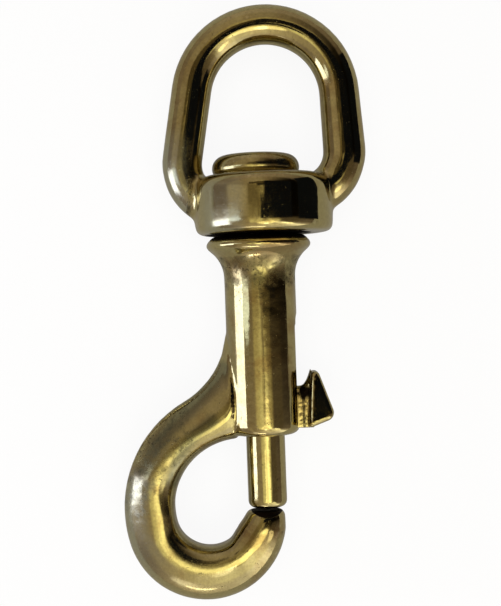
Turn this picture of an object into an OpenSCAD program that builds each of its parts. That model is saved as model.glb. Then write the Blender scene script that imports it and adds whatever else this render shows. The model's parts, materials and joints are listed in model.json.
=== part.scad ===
// Swivel snap hook in cast brass.
// It lies flat, as on a bench. The swivel's axis runs along Y, with the eye towards +Y and the hook
// towards -Y. X is across the hook, with the thumb lug towards +X, and Z is up. The origin is on the
// swivel's axis, level with the centre of the eye's crown.

/* [Eye] */
// Clear width of the eye where its legs meet the collar, for a 19 mm (3/4 in) strap
eye_w = 19.6; // [18.8:0.1:21]
// Clear height of the eye, from the collar's top face to the inside of the crown
eye_h = 20.3; // [18:0.1:26]
// Diameter of the eye's bar
eye_bar_d = 6.2; // [5:0.1:7]
// How much thicker than that the right leg is cast, where it bends into the collar
right_leg_more = 0.4; // [0:0.05:0.6]
// Inside radius of the crown
crown_r = 8.4; // [7.6:0.1:9]
// How far the loop leans to the right, at the crown's centre
crown_lean = 0.75; // [0:0.05:1.5]
// Radius of the bend that turns each leg into the collar, to the middle of the bar
leg_bend_r = 6.9; // [6:0.1:8]
// Height of the bends' centres above the collar's top face
leg_bend_up = 2.65; // [2:0.05:3.5]
// How much the right leg's bend sits above that, and the left leg's below it
leg_skew = 0.75; // [0:0.05:1]
// How far the cast loop sits off the swivel's axis
loop_off = 1.15; // [0:0.05:1.4]

/* [Collar] */
// Diameter of the collar
collar_d = 21.4; // [20.6:0.1:24]
// Height of the collar
collar_h = 9.05; // [8:0.05:12]
// Rounding of the collar's lower edge
collar_low_round = 1.2; // [0.5:0.1:2]
// Rounding of the collar's upper edge
collar_top_round = 2.2; // [0.5:0.1:3]
// How far the cast collar sits off its bore
collar_off = 1; // [0:0.05:1.3]
// Gap between the collar and the barrel's flange
collar_gap = 0.85; // [0.3:0.05:1.5]

/* [Swivel rivet] */
// Diameter of the rivet's shank
shank_d = 4.8; // [4:0.1:5.4]
// Diameter of the button head inside the eye
head_d = 13.5; // [11:0.1:15]
// Height of the button head
head_h = 3.1; // [2:0.05:4]
// Diameter of the flat on top of the button head
head_flat_d = 9.6; // [6:0.1:10]
// Thickness of the inner head, inside the barrel
inner_head_t = 1.2; // [0.8:0.1:2]
// Radial running clearance of the shank in the collar
swivel_gap = 0.08; // [0.02:0.01:0.1]
// Clearance between the button head and the collar's top face
head_gap = 0.05; // [0.02:0.01:0.2]

/* [Barrel] */
// Outer diameter of the barrel
barrel_d = 11; // [10.4:0.1:12]
// Length of the barrel, with its flange
barrel_l = 30.2; // [29:0.1:34]
// Diameter of the flange at the barrel's top
flange_d = 16.4; // [14.5:0.1:19]
// Thickness of the flange's rounded rim
flange_rim = 1.6; // [1:0.1:2.4]
// Radius of the hollow sweep from the flange down to the barrel
flange_sweep_r = 5.1; // [3.5:0.1:6]
// Thickness of the wall across the barrel's top, under the collar
top_wall = 4; // [3:0.1:5]
// Rounding of the barrel's lower edge
barrel_round = 1; // [0.4:0.1:1.4]

/* [Bolt] */
// Diameter of the bolt
bolt_d = 6; // [5.6:0.1:6.6]
// Radial clearance of the bolt in the bore
bolt_gap = 0.1; // [0.04:0.01:0.2]
// How far the bolt slides up into the barrel
bolt_travel = 10.6; // [8:0.1:11]
// Length of the bolt above its web, inside the barrel
bolt_head_l = 4.4; // [3:0.1:6]
// Rounding of the bolt's lower end
bolt_round = 1; // [0.4:0.1:2]
// Thickness of the web that joins the lug to the bolt
web_t = 2.8; // [2:0.1:3.4]
// Height of the web
web_h = 6.45; // [5:0.05:8]
// Clearance on each side of the web in its slot
slot_gap = 0.15; // [0.05:0.01:0.3]
// Clearance between the web and the slot's upper end, with the bolt pushed all the way up
stop_gap = 0.2; // [0.1:0.05:0.5]
// Thickness of the lip that closes the slot's lower end
slot_lip = 0.85; // [0.6:0.05:1.5]
// Clearance between the web and that lip, with the bolt down
lip_gap = 0.05; // [0.02:0.01:0.2]

/* [Thumb lug] */
// Height of the lug, from its flat lower side to its peak
lug_h = 8.7; // [7:0.1:10]
// How far the lug's lower corner stands out from the bolt's axis
lug_reach = 11; // [10:0.1:13]
// Gap between the barrel's wall and the lug's back
lug_back_gap = 1.2; // [0.6:0.1:2]
// Width of the lug, across the hook's plane
lug_w = 7; // [5:0.1:9]
// Rounding of the lug's peak and its back lower corner
lug_round = 0.6; // [0.4:0.1:0.9]
// Rounding of the lug's outer lower corner
lug_corner_round = 1.1; // [0.8:0.1:1.5]

/* [Spring] */
// Diameter of the spring's wire
wire_d = 0.6; // [0.4:0.05:0.7]
// Outer diameter of the coil
coil_d = 4; // [3.4:0.1:4.2]
// Number of turns
coil_turns = 14; // [10:1:15]
// Radial clearance of the coil in the bolt's pocket
pocket_gap = 0.2; // [0.1:0.05:0.3]
// Depth of the pocket in the bolt's top, for the coil
pocket_depth = 8.5; // [6:0.1:10]
// Clearance at each end of the coil
coil_end_gap = 0.03; // [0.01:0.01:0.1]

/* [Hook] */
// Opening between the barrel's end and the hook's tip
throat = 11.5; // [10.8:0.1:14]
// Clearance between the bolt's end and the tip's face, with the bolt down
seat_gap = 0.3; // [0.1:0.05:0.6]
// Depth of the dished seat in the tip
seat_depth = 0.35; // [0.1:0.05:0.6]
// Radius of the seat's dish
seat_r = 6; // [4:0.5:12]
// Distance from the bolt's axis to the tip's inner side
tip_in = 3.6; // [3.2:0.05:4]
// Width of the tip, in the hook's plane
tip_w = 6.3; // [5.8:0.1:7.5]
// Rounding of the tip's edge
tip_round = 1; // [0.4:0.1:1.2]
// Inside radius of the bow
bow_in_r = 5.4; // [5:0.05:7]
// Width of the bar at the bottom of the bow, in the hook's plane
bow_w = 8.4; // [7.5:0.1:10]
// Outside radius of the bow
bow_out_r = 12.4; // [12:0.1:13]
// Inside radius of the hook's shoulder, above the bow
shoulder_in_r = 10.5; // [9.5:0.1:11]
// Outside radius of the hook's shoulder
shoulder_out_r = 19; // [18:0.1:20]
// Radius of the hollow between the barrel's wall and the shoulder
hollow_r = 13.4; // [11:0.1:16]
// Thickness of the bar at the bow, across the hook's plane
bar_t = 7.8; // [7:0.1:9]
// Thickness of the arm where it leaves the barrel
arm_t = 6.9; // [6:0.1:7.6]
// Thickness of the tip
tip_t = 6.5; // [5.8:0.1:7]

/* [Hidden] */

$fn = 96;
brass = [0.66, 0.53, 0.27];
worn_brass = [0.72, 0.60, 0.34];
spring_bronze = [0.60, 0.46, 0.30];
inside = 1;               // how far a cut runs past the face it opens
arc_steps = 8;            // straight steps in a turned rounding

// Places along Y
collar_top_y = crown_r - eye_h;
collar_low_y = collar_top_y - collar_h;
flange_top_y = collar_low_y - collar_gap;
inner_head_y = flange_top_y - top_wall;
barrel_end_y = flange_top_y - barrel_l;
tip_y = barrel_end_y - throat;
web_low_y = barrel_end_y + slot_lip + lip_gap;
web_top_y = web_low_y + web_h;
slot_low_y = barrel_end_y + slot_lip;
slot_top_y = web_top_y + bolt_travel + stop_gap;
bolt_end_y = tip_y + seat_gap;
bolt_top_y = web_top_y + bolt_head_l;
pocket_y = bolt_top_y - pocket_depth;
coil_low_y = pocket_y + coil_end_gap;
coil_top_y = inner_head_y - inner_head_t - coil_end_gap;

// Diameters that fit one another
bore_d = bolt_d + 2 * bolt_gap;
collar_bore_d = shank_d + 2 * swivel_gap;
inner_head_d = bore_d - 2 * bolt_gap;
pocket_d = coil_d + 2 * pocket_gap;
slot_w = web_t + 2 * slot_gap;

// ---- Shared shapes ----

function unit(v) = v / norm(v);

// A direction in the hook's plane, and the angle of the direction from one point to another
function dir(a) = [cos(a), sin(a)];
function bearing(from, to) = let (d = to - from, a = atan2(d[1], d[0])) a < 0 ? a + 360 : a;

// Points of an arc, from one angle to the other, both ends in
function arc(c, r, from, to, steps = arc_steps) =
    [for (i = [0:steps]) c + r * dir(from + (to - from) * i / steps)];

// A shape drawn round Z, laid down so that it runs along Y
module along_y(y = 0) { translate([0, y, 0]) rotate([-90, 0, 0]) children(); }

// Skin of a tube through equal rings of points, closed with a face at each end
module skin(rings) {
    n = len(rings[0]);
    last = len(rings) - 1;
    polyhedron(
        points = [for (r = rings) each r],
        faces = concat(
            [[for (i = [0:n - 1]) i]],
            [for (k = [0:last - 1], i = [0:n - 1]) let (j = (i + 1) % n, a = k * n, b = a + n)
                each [[a + i, b + i, b + j], [a + i, b + j, a + j]]],
            [[for (i = [n - 1:-1:0]) last * n + i]]));
}

// ---- Swivel eye ----

bar_sides = 24;
crown_steps = 28;
bend_steps = 13;
leg_bend_turn = 78;       // how far each leg turns, until it ends inside the collar

// Each side is drawn as the right-hand one, and the left one is mirrored: side is 1 on the right and
// -1 on the left
crown_mid_r = crown_r + eye_bar_d / 2;
function crown_c(side) = [side * crown_lean, 0];

// A leg splays from the crown so that its inner side stands eye_w / 2 out at the collar's top face
function splay(side) = let (dx = eye_w / 2 - side * crown_lean, dy = -collar_top_y)
    acos(crown_r / norm([dx, dy])) - atan2(dy, dx);
function bend_c(side) = let (
    a = splay(side),
    y = collar_top_y + leg_bend_up + side * leg_skew,
    out = (crown_mid_r - leg_bend_r + y * sin(-a)) / cos(a))
    [side * crown_lean + out, y];

// Middle line of the bar: each entry is a point and the angle at which its outer side faces
function bend_path(side) = [for (i = [0:bend_steps])
    let (a = splay(side) - leg_bend_turn * i / bend_steps)
    [bend_c(side) + leg_bend_r * dir(a), a]];
crown_path = let (from = splay(1), to = 180 - splay(-1)) [for (i = [0:crown_steps])
    let (a = from + (to - from) * i / crown_steps)
    [crown_c(1) + crown_mid_r * dir(a), a]];

// One ring of points round the bar
function bar_ring(p, a, d = eye_bar_d) = [for (i = [0:bar_sides - 1])
    let (b = -360 * i / bar_sides, q = p + d / 2 * cos(b) * dir(a))
    [q[0], q[1], d / 2 * sin(b)]];

module loop() {
    right = bend_path(1);
    left = bend_path(-1);
    skin(concat(
        [for (i = [bend_steps:-1:0]) bar_ring(right[i][0], right[i][1], eye_bar_d + right_leg_more)],
        [for (c = crown_path) bar_ring(c[0], c[1])],
        [for (b = left) bar_ring([-b[0][0], b[0][1]], 180 - b[1])]));
}

module collar() {
    r = collar_d / 2;
    along_y(collar_low_y) rotate_extrude() polygon(concat(
        [[0, 0]],
        arc([r - collar_low_round, collar_low_round], collar_low_round, -90, 0),
        arc([r - collar_top_round, collar_h - collar_top_round], collar_top_round, 0, 90),
        [[0, collar_h]]));
}

module swivel_eye() {
    color(brass) difference() {
        union() {
            translate([loop_off, 0, 0]) loop();
            translate([collar_off, 0, 0]) collar();
        }
        along_y(collar_low_y - inside) cylinder(d = collar_bore_d, h = collar_h + 2 * inside);
    }
}

// ---- Swivel rivet ----

head_edge = head_h / 6;   // height of the button head's upright edge

module swivel_rivet() {
    r = head_d / 2;
    flat = head_flat_d / 2;
    dome = [for (i = [0:arc_steps]) let (a = 90 * i / arc_steps)
        [flat + (r - flat) * cos(a), head_edge + (head_h - head_edge) * sin(a)]];
    color(worn_brass) {
        along_y(collar_top_y + head_gap)
            rotate_extrude() polygon(concat([[0, 0], [r, 0]], dome, [[0, head_h]]));
        along_y(inner_head_y) cylinder(d = shank_d, h = collar_top_y + head_gap - inner_head_y);
        along_y(inner_head_y - inner_head_t) cylinder(d = inner_head_d, h = inner_head_t);
    }
}

// ---- Barrel and hook ----

// The rounded rim and the hollow sweep below it are two arcs that meet without a corner
barrel_r = barrel_d / 2;
rim_r = flange_rim / 2;
rim_c = [flange_d / 2 - rim_r, -rim_r];
sweep_dx = barrel_r + flange_sweep_r - rim_c[0];
sweep_dy = sqrt(pow(flange_sweep_r + rim_r, 2) - sweep_dx * sweep_dx);
sweep_c = [barrel_r + flange_sweep_r, rim_c[1] - sweep_dy];
rim_end = atan2(sweep_c[1] - rim_c[1], sweep_dx);

module barrel() {
    along_y(flange_top_y) rotate_extrude() polygon(concat(
        [[0, 0]],
        arc(rim_c, rim_r, 90, rim_end),
        arc(sweep_c, flange_sweep_r, 180 + rim_end, 180),
        arc([barrel_r - barrel_round, barrel_round - barrel_l], barrel_round, 0, -90),
        [[0, -barrel_l]]));
}

// Outer and inner outline of the bow: two round arcs off centre from one another, so that the bar is
// thickest at the bottom. The shoulder's arcs meet them without a corner.
bow_in_c = [-tip_in - bow_in_r, tip_y];
bow_out_drop = bow_in_r + bow_w - bow_out_r;
bow_out_c = [
    tip_w - tip_in - sqrt(bow_out_r * bow_out_r - bow_out_drop * bow_out_drop),
    tip_y - bow_out_drop];
in_join = 185.6;          // angle at which the inner arcs of shoulder and bow meet
out_join = 195.9;         // angle at which the outer ones meet
shoulder_in_c = bow_in_c - (shoulder_in_r - bow_in_r) * dir(in_join);
shoulder_out_c = bow_out_c - (shoulder_out_r - bow_out_r) * dir(out_join);
hollow_x = -barrel_r - hollow_r;
hollow_dx = shoulder_out_c[0] - hollow_x;
hollow_dy = sqrt(pow(shoulder_out_r + hollow_r, 2) - hollow_dx * hollow_dx);
hollow_c = [hollow_x, shoulder_out_c[1] + hollow_dy];

// Angles at which the outer outline goes over from one arc to the next, as seen from the centres of the
// inner arcs
hollow_join = bearing(shoulder_in_c, shoulder_out_c + shoulder_out_r * unit(hollow_c - shoulder_out_c));
bow_join = bearing(bow_in_c, bow_out_c + bow_out_r * dir(out_join));

// Distance along the ray from o in direction a to the circle (c, r): to its far side with s = 1, and to
// its near side with s = -1
function reach(o, a, c, r, s) = let (oc = c - o, b = oc * dir(a))
    b + s * sqrt(max(0, r * r - (oc * oc - b * b)));

ring_sides = 28;
section_step = 5;         // turn from one section of the bar to the next
arm_from = 93.5;          // angle of the arm's first section, at the barrel's wall
arm_full = 150;           // angle at which the arm has come to the bow's thickness
tip_thins = 300;          // angle from which the bar thins towards the tip
tip_at = 360;             // angle of the last section, at the tip's face
arm_root_x = -(bore_d / 2 + barrel_r) / 2;   // the arm's root ends inside the barrel's wall
root_share = 0.9;         // thickness of the root, as a share of the arm's first section
arm_edge = 0.45;          // how lopsided the arm's section is: thin along its upper edge, full below
edge_fades = 120;         // angle up to which the arm keeps that edge
edge_ends = 165;          // angle at which the bar's section is even again

function bar_thickness(a) =
    lookup(a, [[arm_from, arm_t], [arm_full, bar_t], [tip_thins, bar_t], [tip_at, tip_t]]);
function thin_edge(a) = lookup(a, [[edge_fades, arm_edge], [edge_ends, 0]]);

// One ring of points round the bar, between the inner and outer outlines at angle a
function section(o, a, near, far, t, k, shrink = 0) =
    let (mid = (near + far) / 2, half = (far - near) / 2 - shrink)
    [for (i = [0:ring_sides - 1]) let (
        b = -360 * i / ring_sides,
        p = o + (mid + half * cos(b)) * dir(a))
        [p[0], p[1], (t / 2 - shrink) * sin(b) * (1 - k * cos(b))]];

function shoulder_ring(a) = section(shoulder_in_c, a, shoulder_in_r,
    a < hollow_join ? reach(shoulder_in_c, a, hollow_c, hollow_r, -1)
                    : reach(shoulder_in_c, a, shoulder_out_c, shoulder_out_r, 1),
    bar_thickness(a), thin_edge(a));

function bow_far(a) = a < bow_join ? reach(bow_in_c, a, shoulder_out_c, shoulder_out_r, 1)
                                   : reach(bow_in_c, a, bow_out_c, bow_out_r, 1);
function bow_ring(a, shrink = 0) =
    section(bow_in_c, a, bow_in_r, bow_far(a), bar_thickness(a), thin_edge(a), shrink);

function spread(from, to, step = section_step) =
    let (n = ceil((to - from) / step)) [for (i = [0:n - 1]) from + (to - from) * i / n];

// The arm's root: its first ring, moved straight into the barrel's wall
function root_ring() = [for (p = shoulder_ring(arm_from)) [arm_root_x, p[1], p[2] * root_share]];

// The tip's edge is rounded by rings that shrink over the last tip_round of its height
function tip_rings() = [for (b = [0:22.5:90])
    let (y = tip_y - tip_round * (1 - sin(b)))
    [for (p = bow_ring(tip_at, tip_round * (1 - cos(b)))) [p[0], y, p[2]]]];

module hook_bar() {
    tip_from = tip_at - asin(tip_round / bow_in_r);
    skin(concat(
        [root_ring()],
        [for (a = spread(arm_from, hollow_join, section_step / 2)) shoulder_ring(a)],
        [for (a = spread(hollow_join, in_join)) shoulder_ring(a)],
        [for (a = spread(in_join, tip_from)) bow_ring(a)],
        tip_rings()));
}

// Slot for the web in the barrel's right-hand wall, with a round upper end
module slot() {
    round_y = slot_top_y - slot_w / 2;
    depth = barrel_r + inside;
    translate([0, slot_low_y, -slot_w / 2]) cube([depth, round_y - slot_low_y, slot_w]);
    translate([0, round_y, 0]) rotate([0, 90, 0]) cylinder(d = slot_w, h = depth);
}

module hook_body() {
    seat_x = tip_w / 2 - tip_in;
    color(brass) difference() {
        union() {
            barrel();
            hook_bar();
        }
        along_y(inner_head_y) cylinder(d = shank_d, h = top_wall + inside);
        along_y(barrel_end_y - inside) cylinder(d = bore_d, h = inner_head_y - barrel_end_y + inside);
        slot();
        translate([seat_x, tip_y + seat_r - seat_depth, 0]) sphere(r = seat_r);
    }
}

// ---- Bolt with its web and thumb lug ----

lug_peak_in = 0.6;        // how far the peak stands out from the lug's back
lug_rise = 0.75;          // how far the lower side rises towards the outer corner
web_root = 0.3;           // how far the web runs into the lug past its rounded back
lug_back_x = barrel_r + lug_back_gap;
lug_low_y = web_low_y;   // flush with the web's lower side

module thumb_lug() {
    peak = [lug_back_x + lug_round + lug_peak_in, lug_low_y + lug_h - lug_round];
    heel = [lug_back_x + lug_round, lug_low_y + lug_round];
    toe = [lug_reach - lug_corner_round, lug_low_y + lug_rise + lug_corner_round];
    translate([0, 0, -lug_w / 2]) linear_extrude(lug_w) hull() {
        translate(peak) circle(r = lug_round, $fn = 32);
        translate(heel) circle(r = lug_round, $fn = 32);
        translate(toe) circle(r = lug_corner_round, $fn = 32);
    }
}

// The web is drawn on its own section, with a round upper end like the slot's, and runs out along X into
// the lug
module web() {
    rotate([90, 0, 90]) linear_extrude(lug_back_x + lug_round + web_root) {
        translate([web_low_y, -web_t / 2]) square([web_h - web_t / 2, web_t]);
        translate([web_top_y - web_t / 2, 0]) circle(d = web_t);
    }
}

module bolt() {
    r = bolt_d / 2;
    color(worn_brass) {
        difference() {
            union() {
                along_y(bolt_end_y) rotate_extrude() polygon(concat(
                    [[0, 0]],
                    arc([r - bolt_round, bolt_round], bolt_round, -90, 0),
                    [[r, bolt_top_y - bolt_end_y], [0, bolt_top_y - bolt_end_y]]));
                web();
                thumb_lug();
            }
            along_y(pocket_y) cylinder(d = pocket_d, h = pocket_depth + inside);
        }
    }
}

// ---- Spring ----

wire_sides = 6;
wire_steps = 16;          // rings in each turn of the coil

// Height of the wire's middle after t turns: the first and last turns lie closed, and the rest are
// evenly open
coil_low = coil_low_y + wire_d / 2;
coil_top = coil_top_y - wire_d / 2;
open_pitch = (coil_top - coil_low - 2 * wire_d) / (coil_turns - 2);
function coil_y(t) = t < 1 ? coil_low + wire_d * t
    : t > coil_turns - 1 ? coil_top - wire_d * (coil_turns - t)
    : coil_low + wire_d + open_pitch * (t - 1);

module spring() {
    mid_r = (coil_d - wire_d) / 2;
    color(spring_bronze) skin([for (k = [0:coil_turns * wire_steps]) let (t = k / wire_steps)
        [for (i = [0:wire_sides - 1]) let (
            b = -360 * i / wire_sides,
            r = mid_r + wire_d / 2 * cos(b))
            [r * cos(360 * t), coil_y(t) + wire_d / 2 * sin(b), -r * sin(360 * t)]]]);
}

hook_body();
swivel_eye();
swivel_rivet();
bolt();
spring();
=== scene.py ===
"""Swivel snap hook: a cast brass hook with a sliding bolt, a thumb lug and a round swivel eye.

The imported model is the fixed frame. Every piece is made in metres, in that same frame: the barrel and
the bolt run along Y with the hook towards -Y, the thumb lug is towards +X, and Z is up.
"""

import json
import math

import bmesh  # noqa: E402
import bpy  # noqa: E402
from bpy.props import FloatProperty, FloatVectorProperty, IntProperty, PointerProperty  # noqa: E402
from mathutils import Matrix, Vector  # noqa: E402

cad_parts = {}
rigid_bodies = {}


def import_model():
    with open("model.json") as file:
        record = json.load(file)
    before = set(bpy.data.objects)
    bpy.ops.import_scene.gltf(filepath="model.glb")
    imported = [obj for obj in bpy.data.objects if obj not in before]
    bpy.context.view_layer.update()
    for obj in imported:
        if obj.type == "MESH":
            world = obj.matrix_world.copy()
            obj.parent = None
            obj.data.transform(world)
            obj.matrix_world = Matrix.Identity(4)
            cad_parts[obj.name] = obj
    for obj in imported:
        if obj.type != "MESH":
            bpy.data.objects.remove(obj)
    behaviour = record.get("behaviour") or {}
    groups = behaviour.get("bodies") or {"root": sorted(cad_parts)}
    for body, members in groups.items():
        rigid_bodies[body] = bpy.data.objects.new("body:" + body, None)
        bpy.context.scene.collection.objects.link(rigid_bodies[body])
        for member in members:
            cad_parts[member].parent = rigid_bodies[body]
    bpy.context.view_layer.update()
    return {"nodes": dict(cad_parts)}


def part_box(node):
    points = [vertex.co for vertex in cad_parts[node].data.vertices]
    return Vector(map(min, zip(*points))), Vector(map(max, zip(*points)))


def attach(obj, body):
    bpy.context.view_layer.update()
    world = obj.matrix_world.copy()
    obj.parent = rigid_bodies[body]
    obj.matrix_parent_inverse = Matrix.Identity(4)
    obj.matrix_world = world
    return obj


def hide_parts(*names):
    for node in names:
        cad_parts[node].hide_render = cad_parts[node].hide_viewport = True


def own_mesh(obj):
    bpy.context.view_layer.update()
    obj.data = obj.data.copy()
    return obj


bl_info = {
    "name": "Swivel Snap Hook",
    "version": (1, 0, 0),
    "blender": (4, 5, 0),
    "location": "3D View > Sidebar > Snap Hook",
    "description": "Cast brass snap hook with a sliding bolt, a thumb lug and a round swivel eye",
    "category": "Add Mesh",
}

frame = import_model()

MM = 0.001
NEAR = 0.01 * MM    # two places nearer than this count as one
BOLT_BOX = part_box("bolt")
HOOK_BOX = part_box("hook_body")
EYE_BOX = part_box("swivel_eye")
RIVET_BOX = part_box("swivel_rivet")
SPRING_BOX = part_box("spring")


# ---- Sizes and colours ----


def length(name, description, millimetres, low=0.0, high=100.0):
    return FloatProperty(
        name=name, description=description, default=millimetres * MM,
        min=low * MM, max=high * MM, unit="LENGTH", subtype="DISTANCE", precision=5)


def colour(name, description, value):
    return FloatVectorProperty(
        name=name, description=description, default=(*value, 1.0), min=0.0, max=1.0,
        size=4, subtype="COLOR")


def angle(name, description, degrees):
    return FloatProperty(
        name=name, description=description, default=math.radians(degrees), subtype="ANGLE")


def share(name, description, value, high=1.0):
    return FloatProperty(name=name, description=description, default=value, min=0.0, max=high)


class CastingSizes(bpy.types.PropertyGroup):
    """Sizes of the two castings' skin."""

    hook_grid: length("Hook grid", "Spacing of the mesh over the hook casting", 0.22, 0.1, 1)
    eye_grid: length("Eye grid", "Spacing of the mesh over the eye casting", 0.2, 0.1, 1)
    ripple: length("Ripple", "Height of the slow waves left by hand polishing", 0.035, 0, 0.3)
    wave: length("Wave", "Width of those waves", 4.5, 1, 20)
    boss_r: length("Boss radius", "Outer radius of the boss on the flange", 7.35, 5, 8)
    rivet_hole_r: length("Rivet hole radius", "Radius of the boss's hole", 2.7, 2, 4)
    boss_deep: length("Boss depth", "How deep the boss sits in the flange", 0.6, 0.1, 2)
    boss_gap: length("Boss gap", "Gap between the boss and the collar", 0.2, 0.05, 1)
    grit: length("Grit", "Height of the sand grit left in the creases", 0.108, 0, 0.3)
    grain: length("Grain", "Width of the sand's grains", 0.35, 0.1, 1)
    softness: IntProperty(
        name="Softness", description="Passes that round the casting's edges", default=12, min=0, max=60)


class RivetSizes(bpy.types.PropertyGroup):
    """Sizes of the swivel rivet."""

    head_d: length("Head diameter", "Diameter of the button head", 13.5, 8, 16)
    head_h: length("Head height", "Height of the button head", 3.1, 1, 5)
    flat_d: length("Flat diameter", "Diameter of the flat on the button head", 9.6, 4, 12)
    shank_d: length("Shank diameter", "Diameter of the rivet's shank", 4.8, 3, 6)
    inner_d: length("Inner head diameter", "Diameter of the head inside the barrel", 6.0, 4, 8)
    inner_t: length("Inner head thickness", "Thickness of the head inside the barrel", 1.2, 0.5, 3)
    rim_t: length("Rim thickness", "Height of the rim where the button is widest", 0.05, 0.02, 1)
    belly: length("Belly", "How far the button's underside rounds in from its rim", 0.75, 0.2, 2)


class BoltSizes(bpy.types.PropertyGroup):
    """Sizes of the sliding bolt and its thumb lug."""

    rod_d: length("Rod diameter", "Diameter of the bolt", 6.0, 4, 8)
    end_round: length("End rounding", "Rounding of the bolt's lower end", 1.0, 0.2, 2)
    pocket_d: length("Pocket diameter", "Diameter of the pocket for the spring", 4.4, 3, 5)
    pocket_depth: length("Pocket depth", "Depth of the pocket for the spring", 8.5, 4, 12)
    web_t: length("Web thickness", "Thickness of the web that carries the lug", 2.8, 1, 4)
    web_h: length("Web height", "Height of the web", 6.45, 4, 10)
    lug_drop: length("Lug drop", "Distance of the lug's lower side below the rod's top", 10.85, 8, 14)
    lug_w: length("Lug width", "Width of the lug across the hook", 7.0, 4, 10)
    lug_back_x: length("Lug back", "Distance of the lug's back from the bolt's axis", 6.7, 5, 9)
    lug_h: length("Lug height", "Height of the lug to its peak", 8.7, 6, 12)
    lug_rise: length("Lug rise", "How far the lug's lower side rises outwards", 1.5, 0, 2)
    peak_t: length("Peak thickness", "Thickness of the lug at its peak", 1.75, 1, 3)
    peak_lean: length("Peak lean", "How far the lug's back leans outwards at its peak", 0.6, 0, 1)
    web_rise: length("Web rise", "How far the web's top sweeps up the lug's back", 2.6, 0, 4)
    grid: length("Grid", "Spacing of the mesh over the bolt", 0.13, 0.08, 1)


class SpringSizes(bpy.types.PropertyGroup):
    """Sizes of the coil spring."""

    wire_d: length("Wire diameter", "Diameter of the spring's wire", 0.6, 0.3, 1)
    coil_d: length("Coil diameter", "Outer diameter of the coil", 4.0, 3, 5)
    turns: IntProperty(name="Turns", description="Number of turns", default=14, min=4, max=20)


class Finish(bpy.types.PropertyGroup):
    """Colours of the metal."""

    brass: colour("Brass", "Polished brass", (0.52, 0.445, 0.20))
    stain: colour("Stain", "Brown stain on the brass", (0.37, 0.26, 0.105))
    rubbed: colour("Rubbed brass", "Pale rubbed places and edges", (0.65, 0.57, 0.31))
    # This colour paints the pits and specks, and is also painted shade in the creases.
    grime_and_shade: colour("Grime", "Dark grime in the pits and creases", (0.08, 0.055, 0.022))
    silver: colour("Silver wear", "Grey metal where the casting has worn pale", (0.44, 0.46, 0.38))
    patina: colour("Patina", "Green-grey patina along the arm", (0.25, 0.235, 0.13))
    bronze: colour("Spring bronze", "The coil's wire", (0.48, 0.33, 0.18))


class Studio(bpy.types.PropertyGroup):
    """Floor, camera and light."""

    camera_height: length("Camera height", "Height of the camera", 195, 50, 2000)
    camera_x: length("Camera X", "Place of the camera across the hook", -1.557, -100)
    camera_y: length("Camera Y", "Place of the camera along the hook", -31.59, -100)
    camera_roll: angle("Camera roll", "Turn of the camera about its own axis", -2.119)
    view_angle: angle("View angle", "Angle that the camera sees along the frame's long side", 27.1)
    floor_size: length("Floor size", "Side of the floor", 4000, 500, 20000)
    room_light: share("Room light", "Strength of the studio's walls", 1.0, 4.0)


class SnapHookSettings(bpy.types.PropertyGroup):
    """Everything that can be set for the snap hook."""

    casting: PointerProperty(type=CastingSizes)
    rivet: PointerProperty(type=RivetSizes)
    bolt: PointerProperty(type=BoltSizes)
    spring: PointerProperty(type=SpringSizes)
    finish: PointerProperty(type=Finish)
    studio: PointerProperty(type=Studio)


# ---- Working on a mesh ----


def off_axis(p):
    """How far a place is from the barrel's axis."""
    return math.hypot(p.x, p.z)


def alone(thing):
    """Select only this object and make it the active one."""
    bpy.ops.object.select_all(action="DESELECT")
    thing.select_set(True)
    bpy.context.view_layer.objects.active = thing


def edit(thing, mode="FACE"):
    """Go into edit mode on this object, with nothing selected."""
    alone(thing)
    bpy.ops.object.mode_set(mode="EDIT")
    bpy.ops.mesh.select_mode(type=mode)
    bpy.ops.mesh.select_all(action="DESELECT")


def leave():
    """Go back to object mode."""
    bpy.ops.object.mode_set(mode="OBJECT")


def pick(thing, kind, wanted):
    """Select what passes the test: FACE by centre and normal, EDGE by its ends or VERT by place."""
    bpy.ops.mesh.select_mode(type=kind)
    bpy.ops.mesh.select_all(action="DESELECT")
    mesh = bmesh.from_edit_mesh(thing.data)
    if kind == "FACE":
        parts = [(face, face.calc_center_median(), face.normal) for face in mesh.faces]
    elif kind == "EDGE":
        parts = [(edge, edge.verts[0].co, edge.verts[1].co) for edge in mesh.edges]
    else:
        parts = [(point, point.co) for point in mesh.verts]
    for part, *place in parts:
        part.select_set(bool(wanted(*place)))
    bmesh.update_edit_mesh(thing.data)


def bevel(thing, offset, segments, wanted):
    """Round the edges whose two ends pass the test."""
    pick(thing, "EDGE", wanted)
    bpy.ops.mesh.bevel(offset=offset, segments=segments, affect="EDGES")


def settle(thing):
    """Put the object's place into its mesh, so that the object sits at the origin."""
    alone(thing)
    bpy.ops.object.transform_apply(location=True, rotation=True, scale=True)


def primitive(add_one, name, scale=(1, 1, 1), **settings):
    """Add a primitive with nothing else selected, and put its place and scale into its mesh."""
    bpy.ops.object.select_all(action="DESELECT")
    add_one(**settings)
    thing = bpy.context.object
    thing.name = name
    thing.scale = scale
    settle(thing)
    return thing


def modify(thing, kind, **settings):
    """Add a modifier and apply it."""
    alone(thing)
    modifier = thing.modifiers.new(kind.lower(), kind)
    for key, value in settings.items():
        setattr(modifier, key, value)
    bpy.ops.object.modifier_apply(modifier=modifier.name)


def face_outwards(thing):
    """Merge doubles and turn every face outwards."""
    edit(thing)
    bpy.ops.mesh.select_all(action="SELECT")
    bpy.ops.mesh.remove_doubles(threshold=1e-7)
    bpy.ops.mesh.normals_make_consistent(inside=False)
    leave()


def turned_blank(name, radius, low, high, sides):
    """A round bar along Y, from low to high."""
    return primitive(
        bpy.ops.mesh.primitive_cylinder_add, name, vertices=sides, radius=radius, depth=high - low,
        end_fill_type="NGON", location=(0, (low + high) / 2, 0), rotation=(-math.pi / 2, 0, 0))


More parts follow.
